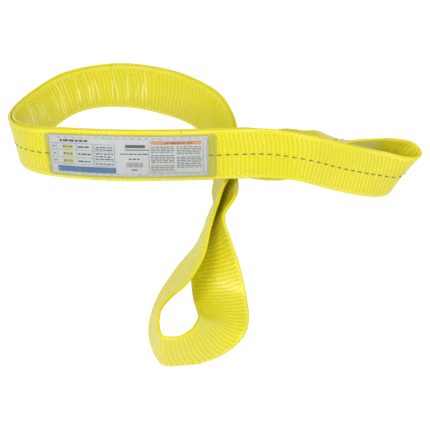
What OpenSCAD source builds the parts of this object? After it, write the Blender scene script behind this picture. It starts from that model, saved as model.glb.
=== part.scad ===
// Flat web sling: two-ply body with a twisted sewn eye at each end, lying on a floor in an open ring.
// Millimetres, +Z up. The origin is on the floor, under the middle of the sling.

/* [Webbing] */
// Width of the webbing
web_w = 50.8; // [49:0.1:52]
// Thickness of one ply
ply_t = 3.8; // [3.2:0.1:3.8]
// Space between the two sewn plies
ply_gap = 0.2; // [0.1:0.1:0.2]
// Thickness of the red warning yarns inside a ply
core_t = 0.8; // [0.4:0.1:1.2]
// Plain margin between the warning yarns and each selvage
core_margin = 5; // [3:0.5:8]

/* [Tracer yarn] */
// Width of the tracer yarn
tracer_w = 1.4; // [1:0.1:2]
// Height of the tracer yarn above the webbing
tracer_t = 0.3; // [0.2:0.1:0.4]

/* [Label] */
// Height of the label across the webbing
label_h = 40; // [36:0.5:42]
// Thickness of the printed label
label_t = 0.5; // [0.3:0.1:0.6]
// Thickness of the clear film over the label
cover_t = 0.5; // [0.4:0.1:0.6]
// Margin of the film past the label, across the webbing
cover_margin = 2; // [0.5:0.5:2]
// Slack under the label, and between it and the film
label_slack = 0.15; // [0.15:0.05:0.2]
// Inset of the label seam from the label's edges
label_seam_inset = 2; // [1.5:0.5:3]

/* [Stitching] */
// Width of a row of stitches
seam_w = 1.2; // [0.8:0.1:1.6]
// Height of a row of stitches above the webbing
seam_t = 0.3; // [0.2:0.1:0.4]
// Distance from a selvage to the first row of stitches
seam_inset = 7.4; // [6:0.1:8]
// Rows of stitches across the webbing at a throat
throat_rows = 4; // [3:1:5]

/* [Hidden] */

yellow = [0.90, 0.86, 0.10];
thread = [0.93, 0.90, 0.25];
green = [0.12, 0.42, 0.22];
red = [0.75, 0.12, 0.10];

// Where the middle of the stations' bounding box is, on the floor
middle = [0, -7.5, -2.5];

// Half the distance between the plies' middles
ply_shift = (ply_t + ply_gap) / 2;
// Distance from the middle of the body to its faces, and to the label's and the film's faces
body_face = ply_t + ply_gap / 2;
label_face = body_face + label_slack + label_t;
cover_face = label_face + label_slack + cover_t;

// Each station is [point on the lower selvage, point on the upper selvage].
// The body runs from the right eye's throat, left along the front, round the ring and under the front.
BODY = [
    [[24, 4, 51], [24, 28, 96]],
    [[-32, 2, 51], [-32, 25, 96]],
    [[-90, 1, 51], [-90, 26, 95]],
    [[-138, 7, 49], [-140, 29, 94]],
    [[-173, 21, 42], [-178, 37, 88]],
    [[-191, 43, 30], [-198, 56, 78]],
    [[-192, 72, 17], [-202, 84, 65]],
    [[-177, 111, 6], [-188, 119, 54]],
    [[-151, 142, 2], [-162, 148, 51]],
    [[-123, 153, 2], [-129, 161, 50]],
    [[-88, 152, 2], [-92, 166, 49]],
    [[-55, 142, 2], [-49, 158, 48]],
    [[-29, 131, 2], [-18, 142, 46]],
    [[-12, 114, 2], [3, 124, 45]],
    [[-6, 91, 2], [15, 101, 44]],
    [[-2, 70, 2], [20, 75, 44]],
    [[2, 48, 3], [20, 44, 44]],
    [[1, 28, 3], [18, 18, 43]]];

// The right eye, from the outer ply round its bight and back to the inner ply, turned over on the way.
RIGHT_EYE = [
    [[56, 4, 51], [56, 25, 97]],
    [[88, 2, 48], [90, 18, 95]],
    [[124, 7, 29], [128, 24, 76]],
    [[154, 13, 13], [161, 32, 60]],
    [[172, 24, 4], [190, 33, 49]],
    [[179, 38, 2], [204, 42, 44]],
    [[181, 50, 2], [201, 52, 43]],
    [[176, 58, 3], [187, 58, 43]],
    [[160, 58, 5], [166, 56, 50]],
    [[134, 75, 24], [134, 44, 62]],
    [[108, 71, 46], [106, 25, 62]],
    [[86, 62, 57], [84, 14, 50]],
    [[57, 41, 76], [54, 14, 40]]];

// The lower eye, from the outer ply along its flat leg, round its bight and up to the inner ply.
LOWER_EYE = [
    [[0, 12, 4], [19, -10, 41]],
    [[-9, -14, 3], [8, -41, 45]],
    [[-17, -42, 3], [13, -60, 35]],
    [[-22, -66, 3], [22, -80, 20]],
    [[-24, -98, 3], [32, -104, 6]],
    [[-15, -133, 18], [30, -128, 2]],
    [[-14, -154, 35], [21, -147, 2]],
    [[-22, -172, 45], [8, -162, 2]],
    [[-32, -181, 50], [-9, -173, 2]],
    [[-39, -183, 52], [-29, -178, 2]],
    [[-47, -180, 52], [-47, -177, 2]],
    [[-50, -163, 51], [-57, -158, 2]],
    [[-45, -143, 50], [-60, -135, 2]],
    [[-25, -115, 43], [-54, -106, 4]],
    [[-11, -86, 44], [-38, -76, 6]],
    [[-5, -56, 50], [-18, -44, 7]],
    [[0, -32, 47], [-8, -14, 4]],
    [[6, -8, 46], [1, 8, 1]]];

// Rings of each swept strip for one station of the body or of an eye
body_rings = 6;
eye_rings = 7;

// Where the links of the body begin and end, in stations, with a gap at each bend that turns
front_ends = [0.04, 5.44];
back_ends = [5.56, 13.4];
tail_ends = [13.6, 16.9];
right_eye_gap = 0.11;
lower_eye_gap = 0.15;
label_ends = [0.55, 3.45];
cover_ends = [0.4, 3.55];
end_seam = 0.03;
right_throat_ends = [0.08, 0.5];
lower_throat_ends = [15.6, 16.85];

function unit(v) = v / norm(v);
function mix(a, b, f) = a + (b - a) * f;

// One point and one slope of the smooth curve through a list of points, at station s
function before(list, i) = i > 0 ? list[i - 1] : 2 * list[0] - list[1];
function after(list, i) = i + 2 < len(list) ? list[i + 2] : 2 * list[i + 1] - list[i];
function part_of(list, s) = min(max(floor(s), 0), len(list) - 2);
function curve_point(list, s) =
    let (i = part_of(list, s), f = s - i,
         a = before(list, i), b = list[i], c = list[i + 1], d = after(list, i))
    (2 * b + (c - a) * f + (2 * a - 5 * b + 4 * c - d) * f * f + (3 * b - a - 3 * c + d) * f * f * f) / 2;
function curve_slope(list, s) =
    let (i = part_of(list, s), f = s - i,
         a = before(list, i), b = list[i], c = list[i + 1], d = after(list, i))
    ((c - a) + 2 * (2 * a - 5 * b + 4 * c - d) * f + 3 * (3 * b - a - 3 * c + d) * f * f) / 2;

// The webbing's frame at station s: [middle, direction across, direction out of the face].
// The direction across is halfway from the line between the selvages to square with the run.
function web_frame(stations, s) =
    let (lower = [for (p = stations) p[0]],
         upper = [for (p = stations) p[1]],
         p0 = curve_point(lower, s),
         p1 = curve_point(upper, s),
         along = unit(curve_slope(lower, s) + curve_slope(upper, s)),
         across = unit((p1 - p0) - along * ((p1 - p0) * along) / 2))
    [(p0 + p1) / 2 - middle, across, unit(cross(along, across))];

// A station of one ply of the body: side 1 is inside the ring and side -1 outside it
function ply_station(k, side) =
    let (shift = web_frame(BODY, k)[2] * side * ply_shift)
    [BODY[k][0] + shift, BODY[k][1] + shift];
function turned_over(station) = [station[1], station[0]];

// Each eye's strip, with two stations of each ply at its ends so that it leaves the body smoothly
last = len(BODY) - 1;
RIGHT_LOOP = concat([ply_station(1, -1), ply_station(0, -1)], RIGHT_EYE,
                    [turned_over(ply_station(0, 1)), turned_over(ply_station(1, 1))]);
LOWER_LOOP = concat([ply_station(last - 1, -1), ply_station(last, -1)], LOWER_EYE,
                    [turned_over(ply_station(last, 1)), turned_over(ply_station(last - 1, 1))]);
RIGHT_ENDS = [1 + right_eye_gap, len(RIGHT_LOOP) - 2 - right_eye_gap];
LOWER_ENDS = [1 + lower_eye_gap, len(LOWER_LOOP) - 2 - lower_eye_gap];

// A strip swept along the webbing: across and out are its [low, high] limits in the webbing's frame.
// All strips on one path share the rings between their ends, and split their sides the same way.
module strip(stations, ends, across, out, rings) {
    inner = [for (k = [floor(ends[0] * rings) + 1:ceil(ends[1] * rings) - 1]) k / rings];
    at = concat([ends[0]], inner, [ends[1]]);
    points = [for (s = at)
        let (f = web_frame(stations, s))
        each [f[0] + f[1] * across[0] + f[2] * out[0], f[0] + f[1] * across[1] + f[2] * out[0],
              f[0] + f[1] * across[1] + f[2] * out[1], f[0] + f[1] * across[0] + f[2] * out[1]]];
    sides = [for (k = [0:len(at) - 2], j = [0:3])
        let (a = 4 * k + j, b = 4 * k + (j + 1) % 4)
        each j < 2 ? [[a, a + 4, b], [b, a + 4, b + 4]] : [[a, a + 4, b + 4], [a, b + 4, b]]];
    top = 4 * (len(at) - 1);
    polyhedron(points = points,
               faces = concat(sides, [[0, 1, 2], [0, 2, 3]],
                              [[top, top + 2, top + 1], [top, top + 3, top + 2]]));
}

// One ply of the body, inside (side 1) or outside (side -1) the ring
module body_ply(ends, side) {
    color(yellow)
        strip(BODY, ends, [-web_w / 2, web_w / 2],
              [side * ply_shift - ply_t / 2, side * ply_shift + ply_t / 2], body_rings);
}

module eye_web(loop, ends) {
    color(yellow)
        strip(loop, ends, [-web_w / 2, web_w / 2], [-ply_t / 2, ply_t / 2], eye_rings);
}

// Red yarns in the middle of a ply, which show when the webbing is cut or worn
module core(stations, ends, shift, rings) {
    half = web_w / 2 - core_margin;
    color(red)
        strip(stations, ends, [-half, half], [shift - core_t / 2, shift + core_t / 2], rings);
}

// The yarn down the middle of one face
module tracer(stations, ends, face, side, rings) {
    color(green)
        strip(stations, ends, [-tracer_w / 2, tracer_w / 2],
              [min(side * face, side * (face + tracer_t)), max(side * face, side * (face + tracer_t))],
              rings);
}

// A row of stitches along the webbing, at a height across it, on one face of the body
module seam(ends, height, side, face = body_face, rings = body_rings) {
    strip(BODY, ends, [height - seam_w / 2, height + seam_w / 2],
          [min(side * face, side * (face + seam_t)), max(side * face, side * (face + seam_t))], rings);
}

// The two rows along the body, on one face
module body_seams(ends, side) {
    height = web_w / 2 - seam_inset;
    color(thread)
        for (sign = [-1, 1]) seam(ends, sign * height, side);
}

// Rows across the throat, closer together than the body's two seams
module throat_stitching(ends) {
    reach = web_w / 2 - seam_inset - 3 * seam_w;
    color(thread)
        for (side = [-1, 1], k = [0:throat_rows - 1])
            seam(ends, mix(-reach, reach, k / (throat_rows - 1)), side);
}

module label() {
    color("white")
        strip(BODY, label_ends, [-label_h / 2, label_h / 2], [-label_face, label_t - label_face],
              body_rings);
}

module label_cover() {
    half = label_h / 2 + cover_margin;
    color([0.85, 0.88, 0.80, 0.4])
        strip(BODY, cover_ends, [-half, half], [-cover_face, cover_t - cover_face], body_rings);
}

module label_stitching() {
    height = label_h / 2 - label_seam_inset;
    color("white") {
        for (sign = [-1, 1]) seam(label_ends, sign * height, -1, cover_face);
        strip(BODY, [label_ends[0], label_ends[0] + end_seam], [-height + seam_w, height - seam_w],
              [-cover_face - seam_t, -cover_face], body_rings);
    }
}

module front_outer_ply() { body_ply(front_ends, -1); }
module front_inner_ply() { body_ply(front_ends, 1); }
module back_outer_ply() { body_ply(back_ends, -1); }
module back_inner_ply() { body_ply(back_ends, 1); }
module tail_outer_ply() { body_ply(tail_ends, -1); }
module tail_inner_ply() { body_ply(tail_ends, 1); }
module right_eye_web() { eye_web(RIGHT_LOOP, RIGHT_ENDS); }
module lower_eye_web() { eye_web(LOWER_LOOP, LOWER_ENDS); }

module front_outer_core() { core(BODY, front_ends, -ply_shift, body_rings); }
module front_inner_core() { core(BODY, front_ends, ply_shift, body_rings); }
module back_outer_core() { core(BODY, back_ends, -ply_shift, body_rings); }
module back_inner_core() { core(BODY, back_ends, ply_shift, body_rings); }
module tail_outer_core() { core(BODY, tail_ends, -ply_shift, body_rings); }
module tail_inner_core() { core(BODY, tail_ends, ply_shift, body_rings); }
module right_eye_core() { core(RIGHT_LOOP, RIGHT_ENDS, 0, eye_rings); }
module lower_eye_core() { core(LOWER_LOOP, LOWER_ENDS, 0, eye_rings); }

// The tracer and the outer seams are on the outside of the ring and stop at the label
module front_tracer() {
    tracer(BODY, [front_ends[0], label_ends[0] - 0.02], body_face, -1, body_rings);
    tracer(BODY, [label_ends[1] + 0.02, front_ends[1]], body_face, -1, body_rings);
}
module back_tracer() { tracer(BODY, back_ends, body_face, -1, body_rings); }
module tail_tracer() { tracer(BODY, tail_ends, body_face, -1, body_rings); }
module right_eye_tracer() { tracer(RIGHT_LOOP, RIGHT_ENDS, ply_t / 2, 1, eye_rings); }
module lower_eye_tracer() { tracer(LOWER_LOOP, LOWER_ENDS, ply_t / 2, -1, eye_rings); }

module front_body_seams() {
    body_seams([0.1, 5.4], 1);
    body_seams([0.1, label_ends[0] - 0.02], -1);
    body_seams([label_ends[1] + 0.02, 5.4], -1);
}
module back_body_seams() {
    body_seams([5.6, 13.35], 1);
    body_seams([5.6, 13.35], -1);
}
module tail_body_seams() {
    body_seams([13.65, 16.85], 1);
    body_seams([13.65, 16.85], -1);
}
module right_throat_stitching() { throat_stitching(right_throat_ends); }
module lower_throat_stitching() { throat_stitching(lower_throat_ends); }

front_outer_ply();
front_inner_ply();
back_outer_ply();
back_inner_ply();
tail_outer_ply();
tail_inner_ply();
right_eye_web();
lower_eye_web();
front_outer_core();
front_inner_core();
back_outer_core();
back_inner_core();
tail_outer_core();
tail_inner_core();
right_eye_core();
lower_eye_core();
front_tracer();
back_tracer();
tail_tracer();
right_eye_tracer();
lower_eye_tracer();
label();
label_cover();
label_stitching();
front_body_seams();
back_body_seams();
tail_body_seams();
right_throat_stitching();
lower_throat_stitching();
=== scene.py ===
"""A flat web sling with two plies and a twisted eye at each end, lying on a floor in an open ring.

Metres, +Z up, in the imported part's frame. The webbing follows the part's own stations, and each
strip is woven here as real relief, so that ribs, yarns and stitches are geometry.
"""

import math
import random

import bpy
import numpy as np
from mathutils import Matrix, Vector


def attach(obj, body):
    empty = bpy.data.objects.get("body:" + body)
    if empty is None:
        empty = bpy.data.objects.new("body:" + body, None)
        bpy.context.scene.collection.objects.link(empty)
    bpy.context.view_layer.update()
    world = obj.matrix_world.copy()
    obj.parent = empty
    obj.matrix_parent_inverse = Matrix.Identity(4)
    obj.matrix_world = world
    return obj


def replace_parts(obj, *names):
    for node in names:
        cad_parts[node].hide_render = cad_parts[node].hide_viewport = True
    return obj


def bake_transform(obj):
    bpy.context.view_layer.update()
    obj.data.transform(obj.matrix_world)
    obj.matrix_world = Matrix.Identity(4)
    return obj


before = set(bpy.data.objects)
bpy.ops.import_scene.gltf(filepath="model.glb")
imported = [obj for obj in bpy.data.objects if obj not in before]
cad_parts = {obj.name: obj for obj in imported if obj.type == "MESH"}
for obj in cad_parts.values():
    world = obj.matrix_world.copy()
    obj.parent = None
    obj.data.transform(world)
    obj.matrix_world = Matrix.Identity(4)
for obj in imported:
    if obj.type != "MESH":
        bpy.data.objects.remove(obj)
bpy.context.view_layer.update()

MM = 0.001

# The webbing and its plies
WEB_WIDTH = 50.8 * MM
PLY_THICK = 3.8 * MM
PLY_GAP = 0.2 * MM
PLY_SHIFT = (PLY_THICK + PLY_GAP) / 2
BODY_FACE = PLY_THICK + PLY_GAP / 2

# The weave: ribs run across the webbing, and columns of warp yarn run along it
RIB_PITCH = 4.2 * MM
REPEAT = 2 * RIB_PITCH
ROWS_PER_REPEAT = 8
ROW = REPEAT / ROWS_PER_REPEAT
COLUMNS = 38
SELVAGE_COLUMNS = 2
EDGE_RADIUS = 1.4 * MM
EDGE_DIP = 0.15 * MM
RIB_DEPTH = 0.20 * MM
FLOAT_DEPTH = 0.12 * MM
COLUMN_DEPTH = 0.10 * MM
SELVAGE_DEPTH = 0.18 * MM
RIB_LEAN = 4.0 * MM

# Puckers are narrow ridges across the inner ply, where the ring's bend presses it together
PUCKER_DEPTH = 0.45 * MM
PUCKER_WIDTH = 0.9 * MM
PUCKER_SWAY = 1.5 * MM
# How far a pucker lifts the weave attribute, a painted highlight along its ridge
PUCKER_HIGHLIGHT = 0.45
PUCKER_ENDS = (6.2, 10.6)
PUCKER_COUNT = 34

# The weave attribute that the yarns' colour follows, as painted light and shade: 0 deep
# between the yarns for painted shade, YARN_TOP on their tops for a painted highlight, up to 1
# on a pucker for a painted glint, and EDGE_SHADE or a little less round the webbing's edges,
# painted shade that dims the rounded edges and more so in the dips between the ribs
YARN_TOP = 0.85
# Painted shade on the rounded edges, and EDGE_SHADE_DIP more of it in the dips between ribs
EDGE_SHADE = 0.4
EDGE_SHADE_DIP = 0.2

# The red warning yarns inside each ply, which end CORE_INSET of a station before the ply does
CORE_HALF = 20 * MM
CORE_THICK = 0.5 * MM
CORE_INSET = 0.1

# The tracer yarn, sunk a little into its face; DASH_SIZE is half its length, width and height
DASH_SINK = 0.10 * MM
DASH_PITCH = 8.05 * MM
DASH_SIZE = (2.6 * MM, 0.62 * MM, 0.3 * MM)

# The label, its print, which is laid out in mm, and its clear film; ends are stations of the body
LABEL_HALF = 20 * MM
LABEL_THICK = 0.45 * MM
LABEL_ENDS = (0.55, 3.45)
COVER_HALF = 22 * MM
COVER_THICK = 0.35 * MM
COVER_ENDS = (0.4, 3.55)
COVER_CORNER = 4 * MM
COVER_GAP = 0.06 * MM
INK_THICK = 0.03 * MM
INK_CELL = 5

# The stitches; STITCH_SIZE is half a stitch's length, width and height
SEAM_HEIGHT = 18 * MM
STITCH_PITCH = 6.9 * MM
STITCH_SIZE = (1.9 * MM, 0.42 * MM, 0.35 * MM)
STITCH_LIFT = 0.02 * MM

# Where the part's own frame has its origin, in the stations' frame
MIDDLE = np.array([0, -7.5, -2.5]) * MM

# Each station is (point on the lower selvage, point on the upper selvage), in millimetres. The
# body runs from the right throat along the front and the back to the lower throat.
BODY = [
    [(24, 4, 51), (24, 28, 96)],
    [(-32, 2, 51), (-32, 25, 96)],
    [(-90, 1, 51), (-90, 26, 95)],
    [(-138, 7, 49), (-140, 29, 94)],
    [(-173, 21, 42), (-178, 37, 88)],
    [(-191, 43, 30), (-198, 56, 78)],
    [(-192, 72, 17), (-202, 84, 65)],
    [(-177, 111, 6), (-188, 119, 54)],
    [(-151, 142, 2), (-162, 148, 51)],
    [(-123, 153, 2), (-129, 161, 50)],
    [(-88, 152, 2), (-92, 166, 49)],
    [(-55, 142, 2), (-49, 158, 48)],
    [(-29, 131, 2), (-18, 142, 46)],
    [(-12, 114, 2), (3, 124, 45)],
    [(-6, 91, 2), (15, 101, 44)],
    [(-2, 70, 2), (20, 75, 44)],
    [(2, 48, 3), (20, 44, 44)],
    [(1, 28, 3), (18, 18, 43)],
]
RIGHT_EYE = [
    [(56, 4, 51), (56, 25, 97)],
    [(88, 2, 48), (90, 18, 95)],
    [(124, 7, 29), (128, 24, 76)],
    [(154, 13, 13), (161, 32, 60)],
    [(172, 24, 4), (190, 33, 49)],
    [(179, 38, 2), (204, 42, 44)],
    [(181, 50, 2), (201, 52, 43)],
    [(176, 58, 3), (187, 58, 43)],
    [(160, 58, 5), (166, 56, 50)],
    [(134, 75, 24), (134, 44, 62)],
    [(108, 71, 46), (106, 25, 62)],
    [(86, 62, 57), (84, 14, 50)],
    [(57, 41, 76), (54, 14, 40)],
]
LOWER_EYE = [
    [(0, 12, 4), (19, -10, 41)],
    [(-9, -14, 3), (8, -41, 45)],
    [(-17, -42, 3), (13, -60, 35)],
    [(-22, -66, 3), (22, -80, 20)],
    [(-24, -98, 3), (32, -104, 6)],
    [(-15, -133, 18), (30, -128, 2)],
    [(-14, -154, 35), (21, -147, 2)],
    [(-22, -172, 45), (8, -162, 2)],
    [(-32, -181, 50), (-9, -173, 2)],
    [(-39, -183, 52), (-29, -178, 2)],
    [(-47, -180, 52), (-47, -177, 2)],
    [(-50, -163, 51), (-57, -158, 2)],
    [(-45, -143, 50), (-60, -135, 2)],
    [(-25, -115, 43), (-54, -106, 4)],
    [(-11, -86, 44), (-38, -76, 6)],
    [(-5, -56, 50), (-18, -44, 7)],
    [(0, -32, 47), (-8, -14, 4)],
    [(6, -8, 46), (1, 8, 1)],
]


# --- Paths ---------------------------------------------------------------------------------


def curve(points, at):
    """Places and slopes of the smooth curve through points, at the stations in at."""
    ends = [2 * points[:1] - points[1:2], points, 2 * points[-1:] - points[-2:-1]]
    p = np.vstack(ends)
    i = np.clip(np.floor(at).astype(int), 0, len(points) - 2)
    f = (at - i)[:, None]
    a, b, c, d = p[i], p[i + 1], p[i + 2], p[i + 3]
    bend, twist = 2 * a - 5 * b + 4 * c - d, 3 * b - a - 3 * c + d
    place = (2 * b + (c - a) * f + bend * f**2 + twist * f**3) / 2
    slope = ((c - a) + 2 * bend * f + 3 * twist * f**2) / 2
    return place, slope


def unit(v):
    return v / np.linalg.norm(v, axis=-1, keepdims=True)


STEPS_PER_STATION = 60


class Path:
    """A strip's middle line and directions, from its stations' selvage points in metres."""

    def __init__(self, stations):
        self.lower, self.upper = np.array(stations)[:, 0], np.array(stations)[:, 1]
        self.last = len(stations) - 1
        self.fine = np.linspace(0, self.last, STEPS_PER_STATION * self.last)
        steps = np.diff(self.frames(self.fine)[0], axis=0)
        self.run = np.concatenate([[0], np.cumsum(np.linalg.norm(steps, axis=1))])

    def frames(self, at):
        """(middles, directions along, directions across, directions out of the face).

        Across is halfway from the line between the selvages to square with the run."""
        low, low_slope = curve(self.lower, at)
        high, high_slope = curve(self.upper, at)
        along = unit(low_slope + high_slope)
        across = high - low
        across = unit(across - along * (across * along).sum(1, keepdims=True) / 2)
        return (low + high) / 2, along, across, unit(np.cross(along, across))

    def runs(self, ends):
        """How far along the path these stations are, in metres."""
        return np.interp(ends, self.fine, self.run)

    def at_runs(self, runs):
        """frames() at distances along the path."""
        return self.frames(np.interp(runs, self.run, self.fine))


def metres(stations):
    return np.array(stations, float) * MM - MIDDLE


body_path = Path(metres(BODY))


def ply_station(k, side):
    """A station of one ply of the body: side 1 is inside the ring and side -1 outside it."""
    out = body_path.frames(np.array([float(k)]))[3]
    return metres(BODY)[k] + out * side * PLY_SHIFT


# The eyes' pieces reach one station into the body, where they meet the body's own pieces.
RIGHT_CUT = 1
LOWER_CUT = len(BODY) - 2
right_path = Path(
    np.concatenate(
        [
            [ply_station(k, -1) for k in (RIGHT_CUT + 1, RIGHT_CUT, RIGHT_CUT - 1)],
            metres(RIGHT_EYE),
            [ply_station(k, 1)[::-1] for k in (RIGHT_CUT - 1, RIGHT_CUT, RIGHT_CUT + 1)],
        ]
    )
)
lower_path = Path(
    np.concatenate(
        [
            [ply_station(k, -1) for k in (LOWER_CUT - 1, LOWER_CUT, LOWER_CUT + 1)],
            metres(LOWER_EYE),
            [ply_station(k, 1)[::-1] for k in (LOWER_CUT + 1, LOWER_CUT, LOWER_CUT - 1)],
        ]
    )
)
RIGHT_ENDS = (1, right_path.last - 1)
LOWER_ENDS = (1, lower_path.last - 1)


# --- Materials -----------------------------------------------------------------------------


BLACK, WHITE = (0.0, 0.0, 0.0), (1.0, 1.0, 1.0)


def new_material(name):
    """(material, its node tree's nodes, its links, its Principled shader)."""
    material = bpy.data.materials.new(name)
    material.use_nodes = True
    tree = material.node_tree
    return material, tree.nodes, tree.links, tree.nodes["Principled BSDF"]


def noise(nodes, links, scale, detail=3.0):
    """A noise texture's factor over the object's own coordinates."""
    place = nodes.new("ShaderNodeTexCoord")
    texture = nodes.new("ShaderNodeTexNoise")
    texture.inputs["Scale"].default_value = scale
    texture.inputs["Detail"].default_value = detail
    links.new(place.outputs["Object"], texture.inputs["Vector"])
    return texture.outputs["Fac"]


def ramp(nodes, links, factor, stops):
    """A colour ramp over factor, with (position, colour) stops."""
    node = nodes.new("ShaderNodeValToRGB")
    for element, (position, colour) in zip(node.color_ramp.elements, (stops[0], stops[-1])):
        element.position = position
        element.color = (*colour, 1)
    for position, colour in stops[1:-1]:
        node.color_ramp.elements.new(position).color = (*colour, 1)
    links.new(factor, node.inputs["Fac"])
    return node.outputs["Color"]


def layered(nodes, links, blend, first, second):
    """The colour sockets first and second, blended in full by MULTIPLY or SCREEN."""
    node = nodes.new("ShaderNodeMix")
    node.data_type = "RGBA"
    node.blend_type = blend
    node.inputs["Factor"].default_value = 1.0
    links.new(first, node.inputs["A"])
    links.new(second, node.inputs["B"])
    return node.outputs["Result"]


def fine_bump(nodes, links, shader, factor, strength, distance):
    """Fine relief on the shader from factor."""
    node = nodes.new("ShaderNodeBump")
    node.inputs["Strength"].default_value = strength
    node.inputs["Distance"].default_value = distance
    links.new(factor, node.inputs["Height"])
    links.new(node.outputs["Normal"], shader.inputs["Normal"])


def varied_roughness(nodes, links, shader, factor, low, high):
    """The shader's roughness goes from low to high with factor."""
    node = nodes.new("ShaderNodeMapRange")
    node.inputs["To Min"].default_value = low
    node.inputs["To Max"].default_value = high
    links.new(factor, node.inputs["Value"])
    links.new(node.outputs["Result"], shader.inputs["Roughness"])


def yarn_material(name, dark, plain, light, pale=None):
    """Woven polyester: painted shade deep between the yarns, a painted highlight on their tops and
    a painted glint on the puckers.

    pale is a painted glint, added in patches to the tops of the ribs."""
    material, nodes, links, shader = new_material(name)
    weave = nodes.new("ShaderNodeAttribute")
    weave.attribute_name = "weave"
    # The stops paint shade deep between the yarns, a highlight on their tops and a glint on
    # puckers
    glint = tuple(min(1.0, c * 1.06 + 0.03) for c in light)
    stops = [(0.0, dark), (0.5, plain), (YARN_TOP, light), (1.0, glint)]
    yarns = ramp(nodes, links, weave.outputs["Fac"], stops)
    patches = noise(nodes, links, 26.0)
    cloudy = ramp(nodes, links, patches, [(0.30, (0.95, 0.96, 0.90)), (0.70, WHITE)])
    colour = layered(nodes, links, "MULTIPLY", yarns, cloudy)
    if pale:
        # Painted glints: patches of the pale colour added to the tops of the ribs
        glint_patches = ramp(nodes, links, noise(nodes, links, 21.0, 1.0), [(0.36, BLACK), (0.62, pale)])
        tops = ramp(nodes, links, weave.outputs["Fac"], [(0.55, BLACK), (YARN_TOP, WHITE)])
        painted_glints = layered(nodes, links, "MULTIPLY", glint_patches, tops)
        colour = layered(nodes, links, "SCREEN", colour, painted_glints)
    links.new(colour, shader.inputs["Base Color"])
    fibres = noise(nodes, links, 2600.0, 2.0)
    fine_bump(nodes, links, shader, fibres, 0.25, 0.0001)
    varied_roughness(nodes, links, shader, fibres, 0.27, 0.37)
    shader.inputs["Specular IOR Level"].default_value = 0.35
    shader.inputs["Subsurface Weight"].default_value = 0.3
    shader.inputs["Subsurface Radius"].default_value = (1.0, 0.9, 0.15)
    shader.inputs["Subsurface Scale"].default_value = 0.004
    return material


def print_material(name, colour):
    """Printed vinyl or ink: one colour with a slight mottle and a soft gloss."""
    material, nodes, links, shader = new_material(name)
    mottle = noise(nodes, links, 420.0)
    paler = tuple(min(1.0, c * 1.06 + 0.01) for c in colour)
    printed = ramp(nodes, links, mottle, [(0.3, colour), (0.7, paler)])
    links.new(printed, shader.inputs["Base Color"])
    fine_bump(nodes, links, shader, mottle, 0.08, 0.0001)
    varied_roughness(nodes, links, shader, mottle, 0.42, 0.58)
    return material


def film_material(name):
    """Clear vinyl film, slightly green and scuffed."""
    material, nodes, links, shader = new_material(name)
    scuffs = noise(nodes, links, 90.0, 4.0)
    tint = [(0.35, (0.22, 0.25, 0.13)), (0.75, (0.30, 0.33, 0.20))]
    links.new(ramp(nodes, links, scuffs, tint), shader.inputs["Base Color"])
    varied_roughness(nodes, links, shader, scuffs, 0.18, 0.30)
    fine_bump(nodes, links, shader, scuffs, 0.05, 0.0002)
    shader.inputs["Alpha"].default_value = 0.16
    return material


def floor_material(name):
    """A white table that glows faintly, so that shadows on it stay pale."""
    material, nodes, links, shader = new_material(name)
    cloudy = [(0.3, (0.24, 0.24, 0.24)), (0.7, (0.26, 0.26, 0.26))]
    tint = ramp(nodes, links, noise(nodes, links, 3.0), cloudy)
    links.new(tint, shader.inputs["Base Color"])
    shader.inputs["Roughness"].default_value = 0.8
    shader.inputs["Emission Color"].default_value = (1, 1, 1, 1)
    shader.inputs["Emission Strength"].default_value = 0.88
    return material


# The webbing's last colour is the painted glint on the tops of its ribs
WEBBING = yarn_material(
    "webbing", (0.54, 0.47, 0.003), (0.62, 0.56, 0.006), (0.66, 0.615, 0.05), (0.16, 0.21, 0.32)
)
TRACER = yarn_material(
    "tracer_yarn", (0.015, 0.03, 0.008), (0.04, 0.08, 0.015), (0.07, 0.13, 0.03)
)
WARNING = yarn_material(
    "warning_yarn", (0.20, 0.01, 0.01), (0.55, 0.03, 0.02), (0.70, 0.10, 0.08)
)
THREAD = yarn_material("thread", (0.48, 0.40, 0.01), (0.65, 0.57, 0.02), (0.74, 0.68, 0.08))
# Dark olive thread, painted shade for the throat's thread where it lies in shadow
SHADOWED_THREAD = yarn_material(
    "shadowed_thread", (0.10, 0.11, 0.02), (0.22, 0.23, 0.05), (0.34, 0.34, 0.10)
)
LABEL_THREAD = yarn_material(
    "label_thread", (0.05, 0.05, 0.06), (0.16, 0.16, 0.18), (0.30, 0.30, 0.33)
)
LABEL_FACE = print_material("label_face", (0.58, 0.59, 0.68))
LABEL_FILM = film_material("label_film")
INK_DARK = print_material("ink_dark", (0.012, 0.022, 0.060))
INK_GREY = print_material("ink_grey", (0.07, 0.08, 0.11))
INK_BLUE = print_material("ink_blue", (0.005, 0.10, 0.34))
INK_GREEN = print_material("ink_green", (0.52, 0.55, 0.08))
INK_ORANGE = print_material("ink_orange", (0.75, 0.24, 0.10))


# --- Meshes --------------------------------------------------------------------------------


def make(name, places, faces, material, shade=None):
    """A smooth mesh object from its places and faces, with the weave attribute from shade."""
    mesh = bpy.data.meshes.new(name)
    mesh.from_pydata([tuple(p) for p in places], [], faces)
    mesh.update()
    mesh.polygons.foreach_set("use_smooth", [True] * len(mesh.polygons))
    if shade is not None:
        attribute = mesh.attributes.new("weave", "FLOAT", "POINT")
        attribute.data.foreach_set("value", np.asarray(shade, np.float32).ravel())
    mesh.materials.append(material)
    piece = bpy.data.objects.new(name, mesh)
    bpy.context.scene.collection.objects.link(piece)
    return piece


def tube_faces(rings, around):
    """Quads of a closed tube of rings, each of around points, and its two end faces."""
    k, j = np.meshgrid(np.arange(rings - 1), np.arange(around), indexing="ij")
    a = k * around + j
    b = k * around + (j + 1) % around
    quads = np.stack([a, a + around, b + around, b], -1).reshape(-1, 4).tolist()
    last = (rings - 1) * around
    return quads + [list(range(around)), list(range(last + around - 1, last - 1, -1))]


def wave(turns):
    """0 at each whole turn and 1 at each half."""
    return 0.5 - 0.5 * np.cos(2 * np.pi * turns)


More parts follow.
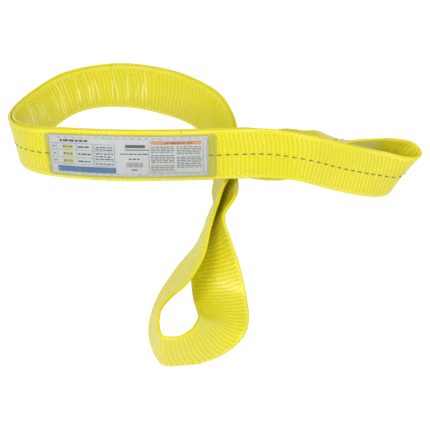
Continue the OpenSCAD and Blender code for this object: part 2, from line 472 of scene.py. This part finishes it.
def weave_depth(along, height):
    """How deep the face lies below the yarns' tops, at each place along and height across."""
    half = WEB_WIDTH / 2 - EDGE_RADIUS
    column = np.clip((height + half) / (2 * half) * COLUMNS, 0, COLUMNS - 1e-6)
    number = np.floor(column)
    side = np.abs(np.sin(np.pi * (column - number)))
    selvage = np.minimum(number, COLUMNS - 1 - number) < SELVAGE_COLUMNS
    parity = (number % 2) / 2
    lean = RIB_LEAN * np.clip(height / half, 0, 1) ** 2
    along = along[:, None] + lean[None, :]
    turn = along / REPEAT + parity[None, :]
    floats = wave(turn) ** 0.7
    knots = wave(along / RIB_PITCH + parity[None, :])
    ribs = wave(along / RIB_PITCH)
    between = COLUMN_DEPTH * (1 - side)[None, :]
    plain = RIB_DEPTH * ribs + FLOAT_DEPTH * floats + between
    edge = SELVAGE_DEPTH * knots + between
    return np.where(selvage[None, :], edge, plain)


def puckers(path, ends, count, seed):
    """Puckers across a face: for each its run, the heights where it starts and stops, its sway."""
    draw = random.Random(seed)
    first, second = path.runs(ends)
    ridges = []
    for _ in range(count):
        at = draw.uniform(first, second)
        low, high = draw.uniform(-1, -0.3), draw.uniform(0.2, 1)
        ridges.append((at, low, high, draw.uniform(0, 6.28)))
    return ridges


def pucker_height(runs, spread, ridges):
    """How high the puckers stand, 0 to 1, at each run and each share of the half width."""
    height = np.zeros((len(runs), len(spread)))
    for at, low, high, sway in ridges:
        line = at + PUCKER_SWAY * np.sin(2.5 * spread + sway)
        reach = np.clip((spread - low) * 5, 0, 1) * np.clip((high - spread) * 5, 0, 1)
        across = np.exp(-(((runs[:, None] - line) / PUCKER_WIDTH) ** 2))
        height = np.maximum(height, reach * across)
    return height


def web(name, path, ends, shift=0.0, phase=0, ridges=()):
    """A woven length of one ply between two stations, moved by shift along the path's out.

    phase is the number of weave rows before it, so that two pieces that meet carry on one
    weave. The ridges are the puckers on the face that looks along the path's out."""
    first, second = path.runs(ends)
    rows = round((second - first) / ROW)
    middle, _, across, out = path.at_runs(np.linspace(first, second, rows + 1))
    along = (np.arange(rows + 1) + phase) * ROW
    half = WEB_WIDTH / 2 - EDGE_RADIUS
    heights = np.linspace(-half, half, 2 * COLUMNS + 1)
    deepest = RIB_DEPTH + FLOAT_DEPTH + COLUMN_DEPTH
    depth = weave_depth(along, heights)
    edge_turn = np.radians([60, 30, 0, -30, -60])
    bumps = wave(along / RIB_PITCH)[:, None]
    flat = np.ones((rows + 1, 1))
    round_out = half + (EDGE_RADIUS - EDGE_DIP * bumps) * np.cos(edge_turn)
    round_up = (PLY_THICK / 2 - EDGE_DIP) * np.sin(edge_turn) * flat
    ridge = pucker_height(first + np.arange(rows + 1) * ROW, heights / half, ridges)
    face = PLY_THICK / 2 - depth
    height = np.hstack([flat * heights, round_out, flat * heights[::-1], -round_out[:, ::-1]])
    up = np.hstack([face + PUCKER_DEPTH * ridge, round_up, -face[:, ::-1], -round_up])
    # Painted shade deep in the weave and a painted highlight on the yarns' tops
    shade_face = YARN_TOP * (1 - depth / deepest)
    # Painted shade round the edges, darker in the dips between the ribs
    shade_edge = (EDGE_SHADE - EDGE_SHADE_DIP * bumps) * np.ones((1, len(edge_turn)))
    # A painted highlight on the puckers
    shade_top = np.minimum(1.0, shade_face + PUCKER_HIGHLIGHT * ridge)
    shade = np.hstack([shade_top, shade_edge, shade_face[:, ::-1], shade_edge])
    places = (
        middle[:, None]
        + across[:, None] * height[..., None]
        + out[:, None] * (up + shift)[..., None]
    )
    faces = tube_faces(rows + 1, height.shape[1])
    piece = make(name, places.reshape(-1, 3), faces, WEBBING, shade)
    return piece


SLAB_ROW = 1.5 * MM


def slab(name, path, ends, half, low, material, thick, corner=0.0):
    """A thin layer along the path, from low to low + thick against the path's out.

    half is half its width, and corner the radius of its rounded corners."""
    first, second = path.runs(ends)
    rows = round((second - first) / SLAB_ROW)
    runs = np.linspace(first, second, rows + 1)
    if corner:
        turn = np.radians(np.arange(0, 91, 15))
        near = corner * (1 - np.cos(turn))
        inner = runs[(runs > first + corner) & (runs < second - corner)]
        runs = np.concatenate([first + near, inner, second - near[::-1]])
    middle, _, across, out = path.at_runs(runs)
    reach = np.full(len(runs), half)
    if corner:
        gone = np.clip(1 - np.minimum(runs - first, second - runs) / corner, 0, 1)
        reach = half - corner * (1 - np.sqrt(1 - gone**2))
    height = reach[:, None] * np.array([-1, -0.98, 0.98, 1, 1, 0.98, -0.98, -1])
    level = low + thick * np.array([0.3, 0, 0, 0.3, 0.7, 1, 1, 0.7]) * np.ones((len(runs), 1))
    places = (
        middle[:, None]
        + across[:, None] * height[..., None]
        - out[:, None] * level[..., None]
    )
    return make(name, places.reshape(-1, 3), tube_faces(len(runs), 8), material)


def core(name, path, ends, shift, hinge, *nodes):
    """The red warning yarns inside one ply, which show when the webbing is cut or abraded."""
    inside = (ends[0] + CORE_INSET, ends[1] - CORE_INSET)
    low = -shift - CORE_THICK / 2
    piece = slab(name, path, inside, CORE_HALF, low, WARNING, CORE_THICK)
    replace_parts(bend(piece, hinge), *nodes)


def pads(name, path, runs, heights, size, material, level, turned=False):
    """Short yarns lying on a face: size is their half length, half width and half height.

    level is how far they are from the path along its out. A turned yarn runs across the
    webbing."""
    middle, along, across, out = path.at_runs(np.asarray(runs))
    start = middle + across * np.asarray(heights)[:, None]
    start = start + out * level
    if turned:
        along, across = across, along
    reach = np.linspace(-1, 1, 7)
    swell = (1 - np.abs(reach) ** 2.5) ** 0.5 + 0.02
    turn = np.radians(np.arange(0, 360, 45))
    places = (
        start[:, None, None]
        + along[:, None, None] * (reach * size[0])[None, :, None, None]
        + across[:, None, None] * (swell[:, None] * np.cos(turn) * size[1])[None, ..., None]
        + out[:, None, None] * (swell[:, None] * np.sin(turn) * size[2])[None, ..., None]
    )
    each = tube_faces(len(reach), len(turn))
    count = len(reach) * len(turn)
    faces = [[v + count * n for v in f] for n in range(len(start)) for f in each]
    # Painted shade at each yarn's tapered ends and a painted highlight along its middle
    shade = np.tile(np.repeat(0.35 + 0.55 * swell, len(turn)), len(start))
    return make(name, places.reshape(-1, 3), faces, material, shade)


def spaced(path, ends, pitch):
    """Distances along the path between two stations, pitch apart."""
    first, second = path.runs(ends)
    count = int((second - first) / pitch)
    return first + pitch * (np.arange(count) + 0.5)


def seam(name, ends, heights, side, material, face=BODY_FACE):
    """Rows of stitches on one face of the body, one row at each height across it."""
    runs = spaced(body_path, ends, STITCH_PITCH)
    every_run = np.tile(runs, len(heights))
    every_height = np.repeat(heights, len(runs))
    level = side * (face + STITCH_LIFT)
    return pads(name, body_path, every_run, every_height, STITCH_SIZE, material, level)


# --- Webbing -------------------------------------------------------------------------------

# The body's cloth is in two lengths that meet in the middle of the back run
MID_BACK = 9.5


def body_rows(station):
    """How many rows of the weave lie between the body's first piece's start and a station."""
    first, second = body_path.runs((RIGHT_CUT, station))
    return round(float(second - first) / ROW)


def bend(piece, name):
    """The piece's transform is baked into its mesh."""
    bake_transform(piece)
    return piece


right_loop = web("right_eye_loop", right_path, RIGHT_ENDS)
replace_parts(bend(right_loop, "right_eye"), "right_eye_web", "front_outer_ply", "front_inner_ply")
lower_loop = web("lower_eye_loop", lower_path, LOWER_ENDS, phase=body_rows(LOWER_CUT))
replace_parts(bend(lower_loop, "lower_eye"), "lower_eye_web", "tail_outer_ply", "tail_inner_ply")

# The inner ply puckers where the ring bends; the outer ply stays smooth
PUCKERS = {"outer": (), "inner": puckers(body_path, PUCKER_ENDS, PUCKER_COUNT, 8)}
LENGTHS = (
    ("front", "back", (RIGHT_CUT, MID_BACK), "left"),
    ("back", "tail", (MID_BACK, LOWER_CUT), "right"),
)
for side_name, side in (("outer", -1), ("inner", 1)):
    shift = side * PLY_SHIFT
    ridges = PUCKERS[side_name]
    for first, second, ends, hinge in LENGTHS:
        name = f"{first}_{second}_{side_name}"
        ply = web(name, body_path, ends, shift, body_rows(ends[0]), ridges)
        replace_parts(bend(ply, hinge), f"{first}_{side_name}_ply", f"{second}_{side_name}_ply")
    for first, second, ends, hinge in LENGTHS:
        name = f"{first}_{second}_{side_name}_core"
        nodes = (f"{first}_{side_name}_core", f"{second}_{side_name}_core")
        core(name, body_path, ends, shift, hinge, *nodes)
core("right_eye_loop_core", right_path, RIGHT_ENDS, 0, "right_eye", "right_eye_core")
core("lower_eye_loop_core", lower_path, LOWER_ENDS, 0, "lower_eye", "lower_eye_core")


# --- Tracer yarn ---------------------------------------------------------------------------


def tracer(name, path, ends, level, hinge, *nodes):
    """The dashes of dark yarn down the middle of a face."""
    runs = spaced(path, ends, DASH_PITCH)
    heights = np.zeros(len(runs))
    piece = pads(name, path, runs, heights, DASH_SIZE, TRACER, level)
    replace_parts(bend(piece, hinge), *nodes)


EYE_FACE = PLY_THICK / 2 - DASH_SINK
OUTER_FACE = -(BODY_FACE - DASH_SINK)
FRONT_DASHES = (LABEL_ENDS[1], MID_BACK)
BACK_DASHES = (MID_BACK, LOWER_CUT)
tracer("right_eye_dashes", right_path, RIGHT_ENDS, EYE_FACE, "right_eye", "right_eye_tracer")
tracer("lower_eye_dashes", lower_path, LOWER_ENDS, -EYE_FACE, "lower_eye", "lower_eye_tracer")
tracer(
    "front_dashes", body_path, FRONT_DASHES, OUTER_FACE, "left", "front_tracer", "back_tracer"
)
tracer("back_dashes", body_path, BACK_DASHES, OUTER_FACE, "right", "tail_tracer")


# --- Body seams ----------------------------------------------------------------------------

SEAM_HEIGHTS = (-SEAM_HEIGHT, SEAM_HEIGHT)
THROAT_HEIGHTS = (-14.4 * MM, -4.8 * MM, 4.8 * MM, 14.4 * MM)
for side_name, side in (("outer", -1), ("inner", 1)):
    # On the outer face the label's own rows take the place of the seams as far as its end
    start = LABEL_ENDS[1] + 0.02 if side == -1 else 0.1
    for name, ends, heights in (
        ("front_seams", (start, MID_BACK), SEAM_HEIGHTS),
        ("back_seams", (MID_BACK, 16.9), SEAM_HEIGHTS),
        ("right_throat", (0.08, 0.5), THROAT_HEIGHTS),
        ("lower_throat", (15.6, 16.85), THROAT_HEIGHTS),
    ):
        rows = seam(f"{name}_{side_name}", ends, heights, side, THREAD)
        if name == "front_seams":
            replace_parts(bend(rows, "left"), "front_body_seams")
        elif name == "back_seams":
            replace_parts(bend(rows, "right"), "back_body_seams", "tail_body_seams")
        elif name == "right_throat":
            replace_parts(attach(rows, "front"), "right_throat_stitching")
        else:
            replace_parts(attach(rows, "tail"), "lower_throat_stitching")

# Where the throat's stitching comes through the outer ply, and the frayed ends of its thread,
# both dark olive as painted shade for thread that lies in shadow
SPECK_COUNT = 9
SPECK_SIZE = (1.1 * MM, 0.5 * MM, 0.3 * MM)
TUFT_COUNT = 26
TUFT_SIZE = (1.8 * MM, 0.3 * MM, 0.25 * MM)
TUFT_LEVEL = 0.8 * MM
specks = pads(
    "lower_throat_specks",
    lower_path,
    lower_path.runs(np.linspace(2.0, 3.6, SPECK_COUNT)),
    np.linspace(19, -3, SPECK_COUNT) * MM,
    SPECK_SIZE,
    SHADOWED_THREAD,
    EYE_FACE,
)
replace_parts(bend(specks, "lower_eye"), "lower_throat_stitching")
draw = random.Random(5)
tuft = pads(
    "lower_throat_tuft",
    lower_path,
    lower_path.runs([draw.uniform(2.3, 3.15) for _ in range(TUFT_COUNT)]),
    [WEB_WIDTH / 2 + draw.uniform(-0.6, 0.5) * MM for _ in range(TUFT_COUNT)],
    TUFT_SIZE,
    SHADOWED_THREAD,
    TUFT_LEVEL,
)
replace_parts(bend(tuft, "lower_eye"), "lower_throat_stitching")

# --- Label ---------------------------------------------------------------------------------

label = slab(
    "label_sheet",
    body_path,
    LABEL_ENDS,
    LABEL_HALF,
    BODY_FACE,
    LABEL_FACE,
    LABEL_THICK,
)
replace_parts(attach(label, "front"), "label")
film = slab(
    "label_film",
    body_path,
    COVER_ENDS,
    COVER_HALF,
    BODY_FACE + LABEL_THICK + COVER_GAP,
    LABEL_FILM,
    COVER_THICK,
    COVER_CORNER,
)
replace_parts(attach(film, "front"), "label_cover")


def ink(name, material, patches):
    """Printed areas on the label: each is (left, right, bottom, top) in mm.

    Left and right are measured from the label's right-hand end towards its left, top and bottom
    from the label's middle."""
    start = body_path.runs([LABEL_ENDS[0]])[0]
    level = BODY_FACE + LABEL_THICK
    places, faces = [], []
    for left, right, bottom, top in patches:
        cells = max(1, math.ceil((left - right) / INK_CELL))
        runs = start + np.linspace(right, left, cells + 1) * MM
        middle, _, across, out = body_path.at_runs(runs)
        height = np.array([bottom, top, top, bottom]) * MM
        up = level + INK_THICK * np.array([-0.5, -0.5, 1, 1])
        ring = (
            middle[:, None]
            + across[:, None] * height[None, :, None]
            - out[:, None] * up[None, :, None]
        )
        first = len(places)
        places.extend(ring.reshape(-1, 3))
        faces.extend([[v + first for v in f] for f in tube_faces(cells + 1, 4)])
    piece = make(name, np.array(places), faces, material)
    piece.data.polygons.foreach_set("use_smooth", [False] * len(piece.data.polygons))
    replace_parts(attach(piece, "front"), "label")
    return piece


def box_outline(left, right, bottom, top, line=0.35):
    """Four thin patches round a box."""
    return [
        (left, right, top - line, top),
        (left, right, bottom, bottom + line),
        (left, left - line, bottom, top),
        (right + line, right, bottom, top),
    ]


def words(left, right, middle, height, seed):
    """A line of print as a row of plain bars of uneven length, with no lettering."""
    draw = random.Random(seed)
    patches = []
    at = left
    while at > right + 1.5:
        length = min(draw.uniform(1.8, 5.5), at - right)
        patches.append((at, at - length, middle - height / 2, middle + height / 2))
        at -= length + 0.9
    return patches


LABEL_LEFT = 149
table = box_outline(LABEL_LEFT, 110, -9.5, 12)
table += [(LABEL_LEFT, 110, y, y + 0.3) for y in (-2.6, 5.0)]
table += [(x, x - 0.3, -9.5, 12) for x in (144.5, 125.5)]
table += box_outline(109, 89, -10.5, 11.5)
table += [(109, 89, y, y + 0.3) for y in (-5.2, 4.4)]
table += box_outline(56.5, 4.5, -16.5, 15.5)
ink("label_lines", INK_GREY, table)

heading = words(141, 114, 14.6, 2.2, 1)
heading += [(79, 60, 8.8, 11.8), (79, 56.5, 6.3, 7.3)]
heading += words(42, 15, 13.6, 1.6, 2)
ink("label_headings", INK_DARK, heading)

cells = [(139, 128.5, y - 2, y + 2) for y in (8.4, 1.2, -6.2)]
ink("label_cells", INK_GREEN, cells)
figures = []
for row, y in enumerate((8.4, 1.2, -6.2)):
    figures += words(138, 130, y, 2.0, 10 + row)
    figures += words(124, 112, y, 1.6, 20 + row)
    figures += words(147.8, 145.6, y, 1.2, 30 + row)
figures += [
    patch
    for row, y in enumerate((8.6, 6.2, 2.2, -0.6, -3.2, -8.0))
    for patch in words(107.5, 90.5, y, 1.1, 40 + row)
]
figures += words(84, 56.5, 2.6, 1.1, 50)
figures += words(76, 64, -2.4, 1.3, 51)
figures += words(73, 66, -13.2, 1.2, 52)
figures += [(78 - 1.15 * k, 77.5 - 1.15 * k, -10.6, -5.8) for k in range(14)]
ink("label_figures", INK_DARK, figures)

ink("label_bar", INK_BLUE, [(145, 88, -17.2, -11.4)])
ink("label_band", INK_ORANGE, [(54.5, 6.5, 12.0, 15.2)])
lines = []
for k in range(15):
    y = 9.8 - 1.72 * k
    if k not in (4, 10):
        lines += words(54.5, 32, y, 0.8, 60 + k)
    if k not in (5, 13, 14):
        lines += words(30, 6.5, y, 0.8, 90 + k)
ink("label_small_print", INK_GREY, lines)

film_face = BODY_FACE + LABEL_THICK + COVER_GAP + COVER_THICK
rows = seam(
    "label_seams", LABEL_ENDS, SEAM_HEIGHTS, -1, LABEL_THREAD, film_face
)
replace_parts(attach(rows, "front"), "label_stitching")
end_heights = np.arange(-16, 16.1, 4.0) * MM
end_seam = pads(
    "label_end_seam",
    body_path,
    np.full(len(end_heights), body_path.runs([LABEL_ENDS[0]])[0] + 1.0 * MM),
    end_heights,
    (1.4 * MM, 0.4 * MM, 0.3 * MM),
    LABEL_THREAD,
    -film_face,
    turned=True,
)
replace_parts(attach(end_seam, "front"), "label_stitching")

# --- Floor, lights and camera --------------------------------------------------------------

bpy.ops.mesh.primitive_plane_add(size=12)
floor = bpy.context.object
floor.name = "floor"
floor.data.materials.append(floor_material("floor"))

scene = bpy.context.scene
scene.view_settings.view_transform = "Standard"

world = bpy.data.worlds.new("studio")
world.use_nodes = True
world.node_tree.nodes["Background"].inputs["Color"].default_value = (1, 1, 1, 1)
world.node_tree.nodes["Background"].inputs["Strength"].default_value = 0.60
scene.world = world

TARGET = Vector(-MIDDLE)


def softbox(name, place, size, energy):
    """A square area light that faces the object."""
    data = bpy.data.lights.new(name, "AREA")
    data.size = size
    data.energy = energy
    lamp = bpy.data.objects.new(name, data)
    lamp.location = place
    lamp.rotation_euler = (TARGET - lamp.location).to_track_quat("-Z", "Y").to_euler()
    scene.collection.objects.link(lamp)


softbox("front", (0.05, -1.1, 1.0), 0.4, 8)
softbox("left", (-0.9, -1.0, 0.6), 0.35, 1.5)
softbox("right", (1.1, -0.2, 0.95), 0.35, 3)
softbox("top", (-0.35, -0.30, 1.5), 0.5, 11)

CAMERA_ELEVATION = math.radians(50)
CAMERA_DISTANCE = 1.2
camera_data = bpy.data.cameras.new("camera")
camera_data.sensor_width = 36
camera_data.lens = 100.5
camera = bpy.data.objects.new("camera", camera_data)
camera.location = TARGET + CAMERA_DISTANCE * Vector(
    (0, -math.cos(CAMERA_ELEVATION), math.sin(CAMERA_ELEVATION))
)
camera.rotation_euler = (math.pi / 2 - CAMERA_ELEVATION, 0, 0)
scene.collection.objects.link(camera)
scene.camera = camera
